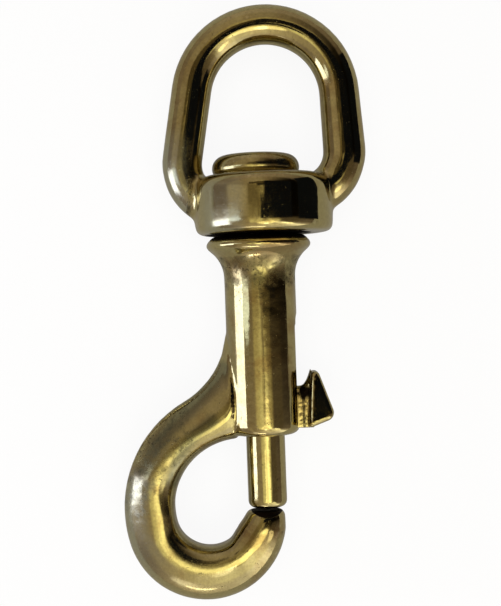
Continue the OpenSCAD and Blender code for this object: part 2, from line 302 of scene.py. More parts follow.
def pick_end(bar, towards):
    """Select the bar's end face, the upper one for 1 and the lower one for -1. Returns its place."""
    mesh = bmesh.from_edit_mesh(bar.data)
    places = [face.calc_center_median().y for face in mesh.faces
              if abs(face.normal.y) > 0.99 and off_axis(face.calc_center_median()) < NEAR]
    place = max(places) if towards > 0 else min(places)
    pick(bar, "FACE", lambda c, n: abs(c.y - place) < NEAR and off_axis(c) < NEAR)
    return place


def turn_on(bar, towards, steps):
    """Carry a turned bar on from its end face through (radius, place) steps."""
    place = pick_end(bar, towards)
    mesh = bmesh.from_edit_mesh(bar.data)
    radius = max(off_axis(point.co) for point in mesh.verts if point.select)
    for next_radius, next_place in steps:
        bpy.ops.mesh.extrude_region_move(
            TRANSFORM_OT_translate={"value": (0, next_place - place, 0)})
        ratio = next_radius / radius
        bpy.ops.transform.resize(value=(ratio, 1, ratio), center_override=(0, next_place, 0))
        radius, place = next_radius, next_place


def rounding(radius, next_radius, place, next_place, count):
    """(radius, place) steps round a quarter of an ellipse, which starts along the axis."""
    turns = [math.pi / 2 * number / count for number in range(1, count + 1)]
    return [(next_radius + (radius - next_radius) * math.cos(turn),
             place + (next_place - place) * math.sin(turn)) for turn in turns]


# ---- Shader nodes ----


def add(tree, kind, inputs=None, **settings):
    """Add a shader node. Inputs are values or sockets to link from, by the input's name or number."""
    node = tree.nodes.new("ShaderNode" + kind)
    for key, value in settings.items():
        setattr(node, key, value)
    for key, value in (inputs or {}).items():
        if isinstance(value, bpy.types.NodeSocket):
            tree.links.new(value, node.inputs[key])
        else:
            node.inputs[key].default_value = value
    return node


def maths(tree, operation, a, b=0.0, clamp=False):
    """One step of arithmetic on values or sockets."""
    return add(tree, "Math", {0: a, 1: b}, operation=operation, use_clamp=clamp).outputs[0]


def times(tree, a, b, clamp=False):
    return maths(tree, "MULTIPLY", a, b, clamp)


def plus(tree, a, b, clamp=False):
    return maths(tree, "ADD", a, b, clamp)


def smooth_step(tree, value, low, high):
    """0 below low, 1 above high, and a smooth turn between."""
    return add(tree, "MapRange", {"Value": value, "From Min": low, "From Max": high},
               interpolation_type="SMOOTHSTEP").outputs["Result"]


def mix_colour(tree, factor, a, b, blend="MIX"):
    """Colour a where the factor is 0, b where it is 1."""
    return add(tree, "Mix", {0: factor, 6: a, 7: b}, data_type="RGBA", blend_type=blend).outputs[2]


def ramp(tree, value, stops):
    """A colour ramp with (place, colour) stops."""
    node = add(tree, "ValToRGB", {0: value})
    elements = node.color_ramp.elements
    while len(elements) > 1:
        elements.remove(elements[-1])
    elements[0].position, elements[0].color = stops[0][0], (*stops[0][1], 1)
    for place, stop_colour in stops[1:]:
        elements.new(place).color = (*stop_colour, 1)
    return node.outputs["Color"]


def group(name, inputs, outputs):
    """A shader node group, and the sockets that it is given and fills. Both are {name: kind}."""
    tree = bpy.data.node_groups.new(name, "ShaderNodeTree")
    for way, sockets in (("INPUT", inputs), ("OUTPUT", outputs)):
        for socket, kind in sockets.items():
            tree.interface.new_socket(socket, in_out=way, socket_type="NodeSocket" + kind)
    return tree, tree.nodes.new("NodeGroupInput").outputs, tree.nodes.new("NodeGroupOutput").inputs


def use_group(tree, name, inputs):
    return add(tree, "Group", inputs, node_tree=bpy.data.node_groups[name]).outputs


def bare_material(name):
    """A material whose node tree is still empty."""
    material = bpy.data.materials.new(name)
    material.use_nodes = True
    material.node_tree.nodes.clear()
    return material


def noise(tree, vector, scale, detail=3.0, roughness=0.5, distortion=0.0):
    return add(tree, "TexNoise",
               {"Vector": vector, "Scale": scale, "Detail": detail, "Roughness": roughness,
                "Distortion": distortion}).outputs["Fac"]


def make_tarnish_group():
    """Mottled metal: clean brass, clouds of brown stain, paler rubbed places and fine dark specks."""
    tree, given, made = group(
        "tarnish",
        {"Vector": "Vector", "Scale": "Float", "Stain share": "Float", "Clean": "Color",
         "Stain": "Color", "Rubbed": "Color", "Grime": "Color"},
        {"Color": "Color", "Stain mask": "Float", "Speck": "Float"})
    place, scale = given["Vector"], given["Scale"]
    clouds = noise(tree, place, scale, 6.0, 0.65, 0.4)
    stain = times(tree, smooth_step(tree, clouds, 0.44, 0.68), given["Stain share"])
    pale = noise(tree, place, times(tree, scale, 3.1), 5.0, 0.65)
    rubbed = times(tree, smooth_step(tree, pale, 0.52, 0.75), 0.35)
    base = mix_colour(tree, rubbed, given["Clean"], given["Rubbed"])
    base = mix_colour(tree, stain, base, given["Stain"])
    fine = noise(tree, place, times(tree, scale, 14.0), 3.0, 0.7)
    shade = add(tree, "MapRange",
                {"Value": fine, "From Min": 0.3, "From Max": 0.7, "To Min": 0.86, "To Max": 1.10})
    base = mix_colour(tree, 1.0, base, shade.outputs["Result"], "MULTIPLY")
    dots = noise(tree, place, times(tree, scale, 9.0), 2.0, 0.6, 0.6)
    speck = times(tree, smooth_step(tree, dots, 0.66, 0.76), 0.5)
    tree.links.new(mix_colour(tree, speck, base, given["Grime"]), made["Color"])
    tree.links.new(stain, made["Stain mask"])
    tree.links.new(speck, made["Speck"])


def make_pits_group():
    """Small casting pits: a mask that is 1 in a pit, and a height that falls into it."""
    tree, given, made = group(
        "pits", {"Vector": "Vector", "Scale": "Float", "Share": "Float", "Pitted": "Float"},
        {"Mask": "Float", "Height": "Float"})
    place, scale, pitted = given["Vector"], given["Scale"], given["Pitted"]
    bent = noise(tree, place, times(tree, scale, 1.7), 3.0, 0.7)
    cells = add(tree, "TexVoronoi", {"Vector": place, "Scale": scale, "Randomness": 1.0})
    patches = noise(tree, place, times(tree, scale, 0.12), 3.0, 0.6)
    patches = plus(tree, patches, times(tree, pitted, 0.15))
    size = times(tree, smooth_step(tree, patches, 0.45, 0.78),
                 plus(tree, given["Share"], times(tree, pitted, 0.35)))
    hole = maths(tree, "SUBTRACT", size, cells.outputs["Distance"])
    hole = plus(tree, hole, times(tree, maths(tree, "SUBTRACT", bent, 0.5), 0.5))
    mask = times(tree, smooth_step(tree, hole, 0.0, 0.14), smooth_step(tree, size, 0.02, 0.10))
    tree.links.new(mask, made["Mask"])
    tree.links.new(times(tree, mask, -1.0), made["Height"])


def make_edge_group():
    """Masks for rubbed outer edges and for painted shade in the creases, from the shape itself."""
    tree, given, made = group(
        "edges", {"Wear": "Float", "Crease shade": "Float"}, {"Edge": "Float", "Crease shade": "Float"})
    shape = add(tree, "NewGeometry").outputs["Pointiness"]
    edge = smooth_step(tree, shape, 0.52, 0.60)
    # Painted shade: hollow places are found from the shape and darkened as creases.
    crease = smooth_step(tree, maths(tree, "SUBTRACT", 1.0, shape), 0.52, 0.60)
    tree.links.new(times(tree, edge, given["Wear"], clamp=True), made["Edge"])
    tree.links.new(times(tree, crease, given["Crease shade"], clamp=True), made["Crease shade"])


def make_polish_group():
    """The height left by polishing: fine lines along one direction, small dimples, slow waves."""
    tree, given, made = group(
        "polish", {"Vector": "Vector", "Lines": "Float", "Dimples": "Float", "Waves": "Float"},
        {"Height": "Float", "Roughness": "Float"})
    place = given["Vector"]
    along = add(tree, "Mapping", {"Vector": place, "Scale": (2600.0, 90.0, 2600.0)}).outputs[0]
    lines = times(tree, noise(tree, along, 1.0, 2.0, 0.6), given["Lines"])
    dimples = times(tree, noise(tree, place, 1100.0, 3.0, 0.6), given["Dimples"])
    waves = times(tree, noise(tree, place, 330.0, 2.0, 0.5), given["Waves"])
    tree.links.new(plus(tree, plus(tree, lines, waves), dimples), made["Height"])
    tree.links.new(noise(tree, place, 800.0, 5.0, 0.7), made["Roughness"])


def metal(name, clean, roughness, stain_share, pit_share, lines, dimples, waves):
    """Worn polished metal with stain clouds, pits, polishing lines, rubbed edges and painted shade in
    the creases.

    Clean is the name of its colour in the finish. The metal also reads masks painted on the piece: a
    grime mask that is dirt in some places and painted shade in gaps and recesses in others, and worn,
    pitted, silver and patina."""
    finish = bpy.context.scene.snap_hook.finish
    material = bpy.data.materials.new(name)
    material.use_nodes = True
    tree = material.node_tree
    shader = tree.nodes["Principled BSDF"]
    place = add(tree, "TexCoord").outputs["Object"]
    grime_and_shade, worn, pitted, silver, patina = (
        add(tree, "Attribute", attribute_name=mask).outputs["Fac"]
        for mask in ("grime_and_shade", "worn", "pitted", "silver", "patina"))
    tarnish = use_group(tree, "tarnish", {
        "Vector": place, "Scale": 160.0, "Stain share": stain_share, "Clean": getattr(finish, clean),
        "Stain": finish.stain, "Rubbed": finish.rubbed, "Grime": finish.grime_and_shade})
    pits = use_group(tree, "pits", {
        "Vector": place, "Scale": 2300.0, "Share": pit_share, "Pitted": pitted})
    edges = use_group(tree, "edges", {"Wear": 0.5, "Crease shade": 0.85})
    polish = use_group(tree, "polish", {
        "Vector": place, "Lines": lines, "Dimples": dimples, "Waves": waves})

    skin = mix_colour(tree, edges["Edge"], tarnish["Color"], finish.rubbed)
    patchy = plus(tree, 0.45, polish["Roughness"])
    skin = mix_colour(tree, times(tree, silver, patchy), skin, finish.silver)
    skin = mix_colour(tree, times(tree, patina, patchy), skin, finish.patina)
    # Painted shade: the creases found from the shape are darkened with the grime colour.
    skin = mix_colour(tree, edges["Crease shade"], skin, finish.grime_and_shade)
    skin = mix_colour(tree, times(tree, pits["Mask"], 0.7), skin, finish.grime_and_shade)
    # Painted shade and dirt: where the grime mask is high the metal turns near black, broken up by
    # noise. In the gaps, on the tip's seat and high on the bolt's web this is painted shade; elsewhere
    # it is soil.
    dark_grime_and_shade = smooth_step(tree, plus(tree, grime_and_shade, times(tree, polish["Roughness"], 0.5)), 0.55, 0.85)
    skin = mix_colour(tree, dark_grime_and_shade, skin, (0.012, 0.008, 0.005, 1))
    tree.links.new(skin, shader.inputs["Base Color"])
    shader.inputs["Metallic"].default_value = 1.0

    rough = plus(tree, roughness, times(tree, smooth_step(tree, polish["Roughness"], 0.35, 0.72), 0.05))
    pitted_or_specked = maths(tree, "MAXIMUM", pits["Mask"], tarnish["Speck"])
    for mask, amount in ((tarnish["Stain mask"], 0.07), (pitted_or_specked, 0.4),
                         (worn, 0.11), (dark_grime_and_shade, 0.5)):
        rough = plus(tree, rough, times(tree, mask, amount), clamp=True)
    tree.links.new(rough, shader.inputs["Roughness"])
    height = plus(tree, polish["Height"], times(tree, pits["Height"], 0.8))
    bump = add(tree, "Bump", {"Height": height, "Strength": 1.0, "Distance": 0.000012})
    tree.links.new(bump.outputs[0], shader.inputs["Normal"])
    return material


def dress(thing, material):
    """Give the piece this one material."""
    thing.data.materials.clear()
    thing.data.materials.append(material)


# ---- Castings ----


def casting_blank(node, name):
    """A copy of a solid of the frame, merged into one closed skin."""
    alone(frame["nodes"][node])
    bpy.ops.object.duplicate()
    blank = bpy.context.object
    blank.name = name
    bpy.ops.object.parent_clear(type="CLEAR_KEEP_TRANSFORM")
    for key in [key for key in blank.keys() if key.startswith("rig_")]:
        del blank[key]
    edit(blank)
    bpy.ops.mesh.select_all(action="SELECT")
    bpy.ops.mesh.remove_doubles(threshold=1e-6)
    bpy.ops.mesh.customdata_custom_splitnormals_clear()
    leave()
    return blank


def cast_skin(thing, grid, softness):
    """An even mesh over the solid, with its edges softened as in a sand casting."""
    modify(thing, "REMESH", mode="VOXEL", voxel_size=grid, adaptivity=0.0)
    modify(thing, "SMOOTH", factor=0.5, iterations=softness)


def places(thing):
    """Each point's place, in millimetres."""
    return [point.co / MM for point in thing.data.vertices]


def mark(thing, name, weight):
    """A vertex group whose weight at each point comes from its place."""
    zone = thing.vertex_groups.new(name=name)
    for index, place in enumerate(places(thing)):
        value = weight(place)
        if value > 0.001:
            zone.add([index], min(1.0, value), "REPLACE")


def uneven(thing, name, height, size, zone="", depth=2):
    """Push the surface in and out by a slow cloud pattern, height from crest to hollow."""
    texture = bpy.data.textures.new(name, "CLOUDS")
    texture.noise_scale = size
    texture.noise_depth = depth
    modify(thing, "DISPLACE", texture=texture, strength=height, mid_level=0.5,
           texture_coords="LOCAL", direction="NORMAL", vertex_group=zone)


def push(thing, name, axis, move):
    """Move the surface along an axis by a signed distance that depends on the place."""
    push_each(thing, name, axis, [move(place) for place in places(thing)])


def push_each(thing, name, axis, moves):
    """Move each point along an axis by its own signed distance, in millimetres."""
    for sign in (1, -1):
        largest = max(sign * move for move in moves)
        if largest * MM < 1e-7:
            continue
        zone = thing.vertex_groups.new(name=name)
        for index, move in enumerate(moves):
            if sign * move > largest * 0.001:
                zone.add([index], sign * move / largest, "REPLACE")
        modify(thing, "DISPLACE", strength=sign * largest * MM, mid_level=0.0, direction=axis,
               vertex_group=name)
        thing.vertex_groups.remove(thing.vertex_groups[name])


def paint(thing, name, weight):
    """Store a mask on the points, 0 to 1, for the material to read."""
    layer = thing.data.attributes.new(name, "FLOAT", "POINT")
    layer.data.foreach_set("value", [min(1.0, max(0.0, weight(place))) for place in places(thing)])


def soften(thing, name, passes, weight):
    """Round the surface further where the weight says."""
    mark(thing, name, weight)
    modify(thing, "SMOOTH", factor=0.5, iterations=passes, vertex_group=name)


def washer(name, outer, inner, low, high):
    """A flat ring round the Y axis."""
    ring = turned_blank(name, outer, low, high, 72)
    edit(ring)
    for towards in (1, -1):
        pick_end(ring, towards)
        bpy.ops.mesh.inset(thickness=outer - inner, depth=0)
        bpy.ops.mesh.delete(type="FACE")
    pick(ring, "EDGE", lambda a, b: max(off_axis(a), off_axis(b)) < inner * 1.01)
    bpy.ops.mesh.bridge_edge_loops()
    leave()
    return ring


def join(thing, others):
    """Put other objects' meshes into this one."""
    alone(thing)
    for other in others:
        other.select_set(True)
    bpy.ops.object.join()


# ---- Places on the hook casting ----

# push, soften, mark and paint hand on a place p in millimetres, and every length that a function of
# such a place uses or returns is in millimetres too
BOW_CENTRE = Vector((-9.0, -63.5))
BOW_INSIDE = 5.4       # the bow's inside radius
BOW_ACROSS = 7.0       # the width of the bow's bar, in the hook's plane
BAR_HALF = 3.9         # half the bar's thickness, square to that plane
BARREL_R = 5.5
BARREL_END = -52.0
FLANGE_TOP = HOOK_BOX[1].y / MM

# The run of the arm's ridge side, from the barrel down to the bow's left
ARM_LINE = [
    (-6.2, -41.6), (-7.3, -43.1), (-11.4, -47.3), (-14.6, -50.5), (-17.0, -53.5), (-18.6, -56.5)]
# A darker streak on the inner side, where the arm turns into the bow
ARM_STREAK = [(-8.0, -49.3), (-10.6, -51.3), (-12.7, -53.6), (-13.9, -56.2), (-14.6, -58.6)]


def step(value, low, high):
    """0 below low, 1 above high, and a smooth turn between."""
    t = min(1.0, max(0.0, (value - low) / (high - low)))
    return t * t * (3 - 2 * t)


def span(value, low, low_full, high_full, high):
    """1 between the two full places and 0 beyond low and high, with smooth turns between."""
    return step(value, low, low_full) * (1 - step(value, high_full, high))


def bow_place(p):
    """Where a point is round the bow: degrees, and the share of the way out across the bar."""
    out = p.xy - BOW_CENTRE
    return math.degrees(math.atan2(out.y, out.x)) % 360, (out.length - BOW_INSIDE) / BOW_ACROSS


def ridge_shift(p):
    """The bow's ridge leans towards the inside of the bow: a move in the hook's plane."""
    degrees = bow_place(p)[0]
    rise = min(1.0, abs(p.z) / BAR_HALF) ** 1.5
    lean = 1.4 - 0.45 * step(degrees, 188, 215)
    return (p.xy - BOW_CENTRE).normalized() * (-lean * rise * span(degrees, 135, 185, 310, 350))


def crease(p):
    """The gritty corner where the arm meets the barrel's wall."""
    if abs(p.z) <= 0.5:
        return 0.0
    corner = span(-p.y, 42.5, 45.5, 50.5, 52) * span(-p.x, 4.4, 4.9, 6.4, 7.2)
    return corner * (1 - step(abs(off_axis(p) - BARREL_R), 0.4, 1.1))


def silver_wear(p):
    """The outer left side of the bow is worn to a pale grey."""
    degrees, out = bow_place(p)
    return 0.5 * span(degrees, 140, 155, 205, 245) * span(out, 0.50, 0.66, 1.05, 1.25) * (p.x < -12)


def arm_pits(p):
    """Pits along the upper side of the arm and on the bow's left."""
    degrees, out = bow_place(p)
    return max(0.4 * span(degrees, 98, 108, 150, 165) * step(out, 0.72, 0.95), 0.3 * silver_wear(p))


def arm_soil(p):
    """Soil along the arm's upper side and round the silver-worn place."""
    degrees, out = bow_place(p)
    return span(degrees, 92, 102, 175, 195) * step(out, 0.30, 0.55) * (p.x < -5)


def arm_distance(p, line, shift=0.0):
    """How far a point is from a line of the arm, moved outwards by shift."""
    place = Vector((p.x + 0.7 * shift, p.y - 0.7 * shift))
    nearest = 99.0
    for a, b in zip(line, line[1:]):
        a, b = Vector(a), Vector(b)
        t = min(1.0, max(0.0, (place - a).dot(b - a) / (b - a).length_squared))
        nearest = min(nearest, (place - a - (b - a) * t).length)
    return nearest


def arm_patina(p):
    """A green-grey band along the middle of the arm, and a streak inside it."""
    if not (-21 < p.x < -5 and -61 < p.y < -39 and p.z > 0):
        return 0.0
    band = 1 - step(arm_distance(p, ARM_LINE), 0.4, 1.9)
    streak = 1 - step(arm_distance(p, ARM_STREAK), 0.3, 1.5)
    return 0.9 * max(band, streak)


def arm_hollow(p):
    """A shallow hollow runs along the arm, just outside its ridge, on both faces: a move along Z."""
    if not (-22 < p.x < -5.8 and -59 < p.y < -39 and abs(p.z) > 1):
        return 0.0
    depth = 0.34 * math.exp(-(arm_distance(p, ARM_LINE, 1.1) / 1.1) ** 2) * step(-p.x, 5.8, 7.5)
    return -depth if p.z > 0 else depth


def flare_soil(p):
    """The hollow of the flare below the flange, where soil stays in the casting's skin."""
    return span(p.y, -33, -28, -24.6, -23.8)


def foot_round(p):
    """The barrel's lower end is well rounded over: a move inwards and upwards."""
    corner, off = 1.5, off_axis(p)
    out, down = off - (BARREL_R - corner), BARREL_END + corner - p.y
    far = math.hypot(out, down)
    if out <= 0 or down <= 0 or far < corner or down > 1.2 * corner or off > BARREL_R + 0.5:
        return 0.0, 0.0, 0.0
    part = (1 - corner / far) * step(p.x, -4.9, -3.6)
    return -out * part / off * p.x, down * part, -out * part / off * p.z


def foot_edge(p):
    """The barrel's lower edge, clear of the arm."""
    return span(-p.y, 48.8, 49.8, 53, 54) * step(p.x, -5.2, -4.0) * step(off_axis(p), 3.6, 4.4)


def flange_lip(p):
    """The rim of the flange."""
    return step(p.y, -26.0, -24.6) * step(off_axis(p), 6.4, 7.2)


def tip_swell(p):
    """The inner side of the tip swells towards the bow before it turns down: a move along X."""
    return -0.5 * span(-p.y, 64.2, 66.0, 66.6, 69.2) * span(-p.x, -1.0, 2.5, 4.5, 7.0)


def tip_end(p):
    """The end of the tip, round its seat."""
    return span(p.y, -66.5, -65.0, -62, -61) * step(p.x, -5, -4.5)


def tip_seat_shade(p):
    """Painted shade: the hollow face of the tip that the bolt closes on is painted dark."""
    half, middle, deep = 2.7, -63.55, 0.95
    if not (-66 < p.y < -60 and abs(p.x) < half):
        return 0.0
    low = middle - deep * (1 - (p.x / half) ** 2)
    return step(p.y, low - 0.12, low + 0.12)


def hook_grime_and_shade(p):
    """Painted shade in the gap under the collar and on the tip's seat, and soil on the flare and the
    arm.
    """
    # Painted shade: the flange's top and the boss, in the gap under the collar, are painted dark.
    gap_shade = step(p.y, FLANGE_TOP - 0.10, FLANGE_TOP + 0.05)
    return max(gap_shade, 0.41 * flare_soil(p), 0.37 * arm_soil(p), tip_seat_shade(p))


class SNAPHOOK_OT_hook_casting(bpy.types.Operator):
    """Hook body: the barrel with its flange, the arm, the bow and the tip in one casting"""

    bl_idname = "snaphook.hook_casting"
    bl_label = "Hook Casting"

    def execute(self, context):
        sizes = context.scene.snap_hook.casting
        casting = casting_blank("hook_body", "hook_casting")
        join(casting, [washer("boss", sizes.boss_r, sizes.rivet_hole_r, HOOK_BOX[1].y - sizes.boss_deep,
                              EYE_BOX[0].y - sizes.boss_gap)])
        cast_skin(casting, sizes.hook_grid, sizes.softness)
        push(casting, "ridge_x", "X", lambda p: ridge_shift(p).x)
        push(casting, "ridge_y", "Y", lambda p: ridge_shift(p).y)
        push(casting, "hollow", "Z", arm_hollow)
        push(casting, "swell", "X", tip_swell)
        foot = [foot_round(place) for place in places(casting)]
        for number, axis in enumerate("XYZ"):
            push_each(casting, "foot", axis, [move[number] for move in foot])
        soften(casting, "foot_edge", 10, foot_edge)
        soften(casting, "flange_lip", 55, flange_lip)
        soften(casting, "tip_end", 45, tip_end)
        uneven(casting, "hook_ripple", sizes.ripple, sizes.wave)
        mark(casting, "crease", crease)
        uneven(casting, "crease_grit", sizes.grit, sizes.grain, zone="crease", depth=1)
        bpy.ops.object.shade_smooth()
        paint(casting, "grime_and_shade", hook_grime_and_shade)
        paint(casting, "worn", lambda p: step(-p.x, 5.4, 7.0))
        paint(casting, "pitted", lambda p: max(arm_pits(p), 0.5 * flare_soil(p)))
        paint(casting, "silver", silver_wear)
        paint(casting, "patina", arm_patina)
        dress(casting, metal("cast_brass", "brass", roughness=0.05, stain_share=0.85,
                             pit_share=0.3, lines=0.5, dimples=0.5, waves=1.2))
        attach(casting, "hook")
        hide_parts("hook_body")
        return {"FINISHED"}


# ---- Places on the eye casting ----


def leg_joint(p):
    """The crease where a leg of the eye runs into the collar."""
    off = abs(off_axis(p) - 10.7)
    return (1 - step(off, 0.2, 0.7)) * step(abs(p.x), 8.3, 9.3) * span(-p.y, 11.5, 12.5, 18.2, 19.2)


def leg_bend(p):
    """Where the legs bend into the collar."""
    return step(abs(p.x - 0.6), 7.6, 9.2) * span(-p.y, 9.0, 11.0, 18.5, 20.0)


def collar_edge(p):
    """The collar's lower edge, and less of its upper edge."""
    lower, upper = step(-p.y, 17.6, 19.2), 0.4 - 0.4 * step(-p.y, 12.4, 14.0)
    return step(off_axis(p), 8.0, 9.2) * step(-p.y, 10.5, 11.5) * max(lower, upper)


def eye_grime_and_shade(p):
    """Grime and painted shade in the legs' creases, and painted shade under the collar."""
    # Painted shade on the collar's underside, in the gap above the flange.
    shade_under_collar = step(-p.y, 20.5, 20.9) * (1 - step(off_axis(p), 7.8, 8.6))
    return max(0.45 * leg_joint(p), shade_under_collar)


def eye_wear(p):
    """The collar's lower left and the left leg's foot are worn dull."""
    leg = step(-p.x, 9.0, 10) * step(-p.y, 4, 8)
    return max(0.8 * step(-p.y, 16.0, 18), leg) * (p.x < 0)


def eye_silver(p):
    """The left leg's foot and the collar's left front are worn to a paler grey."""
    if p.z < 0:
        return 0.0
    if off_axis(p) > 10.9:
        return 0.5 * step(-p.x, 8.5, 10) * step(-p.y, 3, 8)
    return 0.4 * span(-p.x, 1.5, 3, 7.5, 9) * step(-p.y, 12.5, 14)


class SNAPHOOK_OT_eye_casting(bpy.types.Operator):
    """Swivel eye: the round loop and its collar in one casting"""

    bl_idname = "snaphook.eye_casting"
    bl_label = "Eye Casting"

    def execute(self, context):
        sizes = context.scene.snap_hook.casting
        casting = casting_blank("swivel_eye", "eye_casting")
        cast_skin(casting, sizes.eye_grid, sizes.softness)
        soften(casting, "leg_bend", 60, leg_bend)
        soften(casting, "collar_edge", 75, collar_edge)
        uneven(casting, "eye_ripple", sizes.ripple, sizes.wave)
        bpy.ops.object.shade_smooth()
        paint(casting, "grime_and_shade", eye_grime_and_shade)
        paint(casting, "pitted", leg_joint)
        paint(casting, "worn", eye_wear)
        paint(casting, "silver", eye_silver)
        dress(casting, metal("eye_brass", "brass", roughness=0.055, stain_share=0.6,
                             pit_share=0.25, lines=0.22, dimples=0.28, waves=1.4))
        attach(casting, "eye")
        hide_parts("swivel_eye")
        return {"FINISHED"}


# ---- Rivet, bolt and spring ----


class SNAPHOOK_OT_rivet(bpy.types.Operator):
    """Swivel rivet: the button head inside the eye, the shank and the head inside the barrel"""

    bl_idname = "snaphook.rivet"
    bl_label = "Swivel Rivet"

    def execute(self, context):
        sizes = context.scene.snap_hook.rivet
        head_r, flat_r, shank_r = sizes.head_d / 2, sizes.flat_d / 2, sizes.shank_d / 2
        low, top = RIVET_BOX[0].y, RIVET_BOX[1].y
        seat = top - sizes.head_h
        rim_top = seat + 0.36 * sizes.head_h    # the head is widest about a third of the way up
        rim_low = rim_top - sizes.rim_t
        rivet = turned_blank("rivet", head_r, rim_low, rim_top, 96)
        edit(rivet)
        dome = rounding(head_r, flat_r, rim_top, top, 9)
        turn_on(rivet, 1, dome + [(flat_r * 0.6, top), (flat_r * 0.25, top)])
        belly = rounding(head_r, head_r - sizes.belly, rim_low, seat, 6)
        turn_on(rivet, -1, belly + [(shank_r, seat), (shank_r, low + sizes.inner_t),
                                    (sizes.inner_d / 2, low + sizes.inner_t), (sizes.inner_d / 2, low)])
        leave()
        face_outwards(rivet)
        bpy.ops.object.shade_smooth_by_angle(angle=math.radians(35))
        dress(rivet, metal("rivet_brass", "brass", roughness=0.15, stain_share=1.0,
                           pit_share=0.2, lines=0.2, dimples=0.5, waves=1.5))
        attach(rivet, "hook")
        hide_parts("swivel_rivet")
        return {"FINISHED"}


def thumb_lug(sizes):
    """The wedge that the thumb pulls, with its front and back drawn in towards the outer slope."""
    low, wide = BOLT_BOX[1].y - sizes.lug_drop, sizes.lug_w / 2
    back, reach, peak = sizes.lug_back_x, BOLT_BOX[1].x, low + sizes.lug_h
    middle = (back + reach) / 2
    lug = primitive(bpy.ops.mesh.primitive_cube_add, "lug", (reach - back, peak - low, 2 * wide),
                    size=1, location=(middle, (low + peak) / 2, 0))
    edit(lug)
    pick(lug, "VERT", lambda p: p.x < middle and p.y > peak - NEAR)
    bpy.ops.transform.translate(value=(sizes.peak_lean, 0, 0))
    pick(lug, "VERT", lambda p: p.x > middle and p.y > peak - NEAR)
    bpy.ops.transform.translate(value=(back + sizes.peak_t - reach, 0, 0))
    pick(lug, "VERT", lambda p: p.x > middle and p.y < low + NEAR)
    bpy.ops.transform.translate(value=(0, sizes.lug_rise, 0))
    # The slope and then the peak are drawn in on both sides
    pick(lug, "VERT", lambda p: p.x > back + sizes.peak_t - NEAR)
    bpy.ops.transform.resize(value=(1, 1, 0.85), center_override=(0, 0, 0))
    pick(lug, "VERT", lambda p: p.y > peak - NEAR)
    bpy.ops.transform.resize(value=(1, 1, 0.80), center_override=(0, 0, 0))
    # The peak's edge, the outer toe and the back are rounded, and then the rims of the two sides
    for rounded, segments, wanted in (
            (0.55, 5, lambda a, b: min(a.y, b.y) > peak - NEAR),
            (1.3, 6, lambda a, b: min(a.x, b.x) > reach - NEAR),
            (0.6, 5, lambda a, b: max(a.x, b.x) < back + NEAR)):
        bevel(lug, rounded * MM, segments, lambda a, b: abs(a.z - b.z) > wide and wanted(a, b))
    pick(lug, "FACE", lambda c, n: abs(n.z) > 0.8)
    bpy.ops.mesh.region_to_loop()
    bpy.ops.mesh.bevel(offset=0.75 * MM, segments=5, affect="EDGES")
    leave()
    return lug


def web(sizes):
    """The web between the bolt and its lug. Its round top sweeps up the lug's back."""
    low = BOLT_BOX[1].y - sizes.lug_drop
    top = low + sizes.web_h
    start, end = sizes.pocket_d / 2 + 0.25 * MM, sizes.lug_back_x + 0.9 * MM
    plate = primitive(bpy.ops.mesh.primitive_cube_add, "web", (end - start, sizes.web_h, sizes.web_t),
                      size=1, location=((start + end) / 2, (low + top) / 2, 0))
    edit(plate)
    bevel(plate, sizes.web_t / 2 - NEAR, 8, lambda a, b: min(a.y, b.y) > top - NEAR and a.z * b.z > 0)
    pick(plate, "EDGE", lambda a, b: abs(a.x - b.x) > 1 * MM)
    cuts = 20
    bpy.ops.mesh.subdivide(number_cuts=cuts)
    sweep_from, sweep_to = 5.7 * MM, end - 0.3 * MM
    for cut in range(1, cuts + 1):
        place = start + (end - start) * cut / (cuts + 1)
        if place > sweep_from:
            rise = sizes.web_rise * ((place - sweep_from) / (sweep_to - sweep_from)) ** 2
            pick(plate, "VERT", lambda p: abs(p.x - place) < NEAR and p.y > low + 2 * MM)
            bpy.ops.transform.translate(value=(0, rise, 0))
    leave()
    return plate


def web_grit(p):
    """The web's sides, which no polishing wheel reaches."""
    side = span(p.x, 5.2, 5.6, 6.9, 7.4) * (1 - step(abs(p.z), 1.6, 2.2))
    return side * step(-p.y, 43.5, 45.5)


def bolt_grime_and_shade(p):
    """Painted shade and grime on the web's sides, darker high up in the recess by the lug and in a line
    along its middle.
    """
    line = span(p.x, 5.7, 5.9, 6.2, 6.4)
    return web_grit(p) * (0.28 + 0.35 * step(p.y, -47.5, -45.5) + 0.2 * line)


class SNAPHOOK_OT_bolt(bpy.types.Operator):
    """Bolt: the sliding rod with its spring pocket, web and thumb lug"""

    bl_idname = "snaphook.bolt"
    bl_label = "Bolt"

    def execute(self, context):
        sizes = context.scene.snap_hook.bolt
        low, top, pocket_r = BOLT_BOX[0].y, BOLT_BOX[1].y, sizes.pocket_d / 2
        rod = turned_blank("sliding_bolt", sizes.rod_d / 2, low, top, 64)
        edit(rod)
        bevel(rod, sizes.end_round, 6, lambda a, b: max(a.y, b.y) < low + NEAR)
        bevel(rod, 0.2 * MM, 2, lambda a, b: min(a.y, b.y) > top - NEAR)
        turn_on(rod, 1, [(pocket_r, top), (pocket_r, top - sizes.pocket_depth)])
        leave()
        join(rod, [web(sizes), thumb_lug(sizes)])
        face_outwards(rod)
        cast_skin(rod, sizes.grid, softness=6)
        uneven(rod, "bolt_ripple", 0.02 * MM, 2.5 * MM)
        mark(rod, "web_grit", web_grit)
        uneven(rod, "web_grit", 0.05 * MM, 0.4 * MM, zone="web_grit", depth=1)
        bpy.ops.object.shade_smooth()
        paint(rod, "grime_and_shade", bolt_grime_and_shade)
        paint(rod, "pitted", lambda p: 0.4 * web_grit(p))
        dress(rod, metal("bolt_brass", "brass", roughness=0.06, stain_share=0.7,
                         pit_share=0.25, lines=0.6, dimples=0.5, waves=1.4))
        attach(rod, "bolt")
        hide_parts("bolt")
        return {"FINISHED"}


